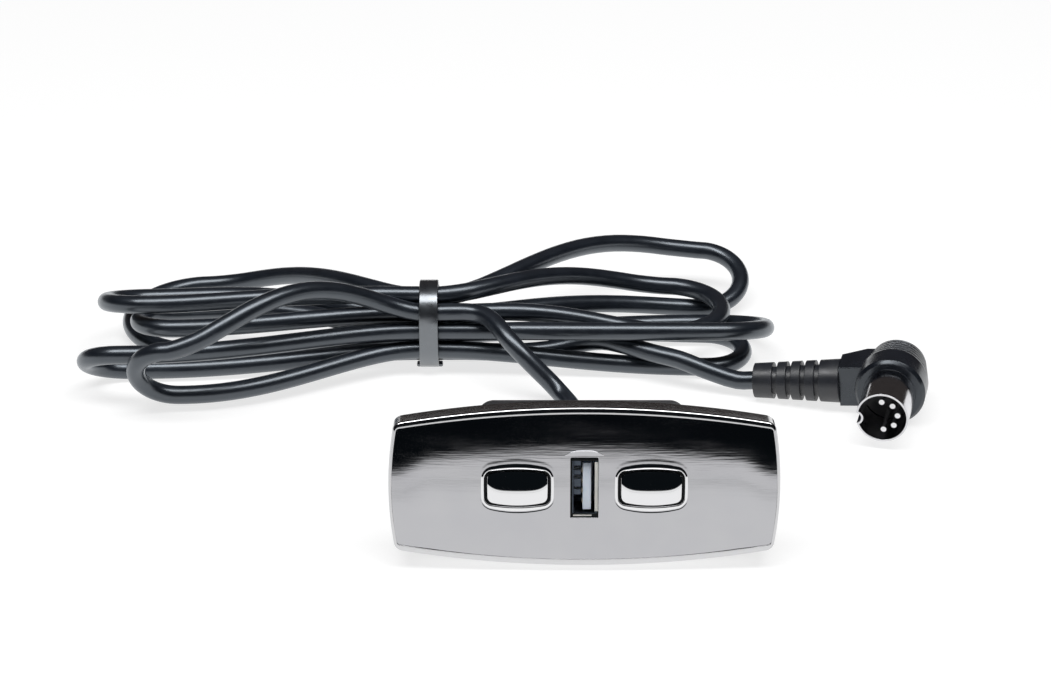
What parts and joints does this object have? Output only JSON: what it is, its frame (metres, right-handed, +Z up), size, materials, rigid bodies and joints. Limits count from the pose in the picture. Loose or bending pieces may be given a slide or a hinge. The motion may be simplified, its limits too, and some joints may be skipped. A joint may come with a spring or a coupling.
{
  "type": "furniture hand control",
  "caption": "Two-button hand control with a chrome faceplate and a charging socket, and a cable in a tied hank that ends in a right-angle round plug.",
  "frame": {"origin": "on the table under the middle of the control without its cable", "axes": "+X to the right of the face, +Y behind it, +Z up"},
  "size_m": [0.2208, 0.1613, 0.0381],
  "materials": {
    "face_chrome": "polished plate on moulded plastic, lightly streaked",
    "button_chrome": "bright polished plate",
    "plunger_plastic": "moulded, natural",
    "inner_plastic": "moulded",
    "housing_plastic": "fine moulded grain",
    "screw_steel": "zinc plated",
    "insert_brass": "turned",
    "board_green": "solder mask",
    "socket_steel": "tin plated",
    "socket_plastic": "moulded, cream",
    "contact_metal": "plated",
    "inner_dark": "sleeved",
    "wire_jacket": "insulated wire",
    "cable_rubber": "soft moulded",
    "cable_jacket": "smooth glossy jacket",
    "tie_plastic": "smooth glossy strap",
    "plug_plastic": "smooth moulded",
    "relief_rubber": "matt moulded",
    "plug_metal": "nickel plated",
    "insulator_plastic": "moulded",
    "pin_metal": "plated"
  },
  "bodies": {
    "control": {"faceplate": "face_chrome", "left_push_switch": "inner_plastic", "right_push_switch": "inner_plastic", "housing": "housing_plastic", "rear_cover": "housing_plastic", "cover_screws": "screw_steel", "ear_screws": "screw_steel", "left_insert": "insert_brass", "right_insert": "insert_brass", "circuit_board": "board_green", "socket_shell": "socket_steel", "socket_insulator": "socket_plastic", "socket_contacts": "contact_metal", "capacitor": "inner_dark", "inductor": "inner_plastic", "converter_chip": "inner_plastic", "cable_wires": "wire_jacket", "cable_grommet": "cable_rubber", "cable_lead": "cable_jacket", "cable_hank": "cable_jacket", "cable_tail": "cable_jacket", "hank_tie": "tie_plastic", "tie_buckle": "tie_plastic", "plug_head": "plug_plastic", "plug_relief": "relief_rubber", "plug_shell": "plug_metal", "plug_insulator": "insulator_plastic", "plug_pins": "pin_metal"},
    "left_button": {"left_button": "button_chrome", "left_plunger": "plunger_plastic"},
    "right_button": {"right_button": "button_chrome", "right_plunger": "plunger_plastic"}
  },
  "joints": [
    {"name": "left_press", "type": "slide", "parent": "control", "child": "left_button", "axis": [0, 0.9724, -0.2334], "range_m": [0, 0.0012], "stiffness_N_per_m": 800, "springref_m": -0.0015},
    {"name": "right_press", "type": "slide", "parent": "control", "child": "right_button", "axis": [0, 0.9724, -0.2334], "range_m": [0, 0.0012], "stiffness_N_per_m": 800, "springref_m": -0.0015}
  ]
}
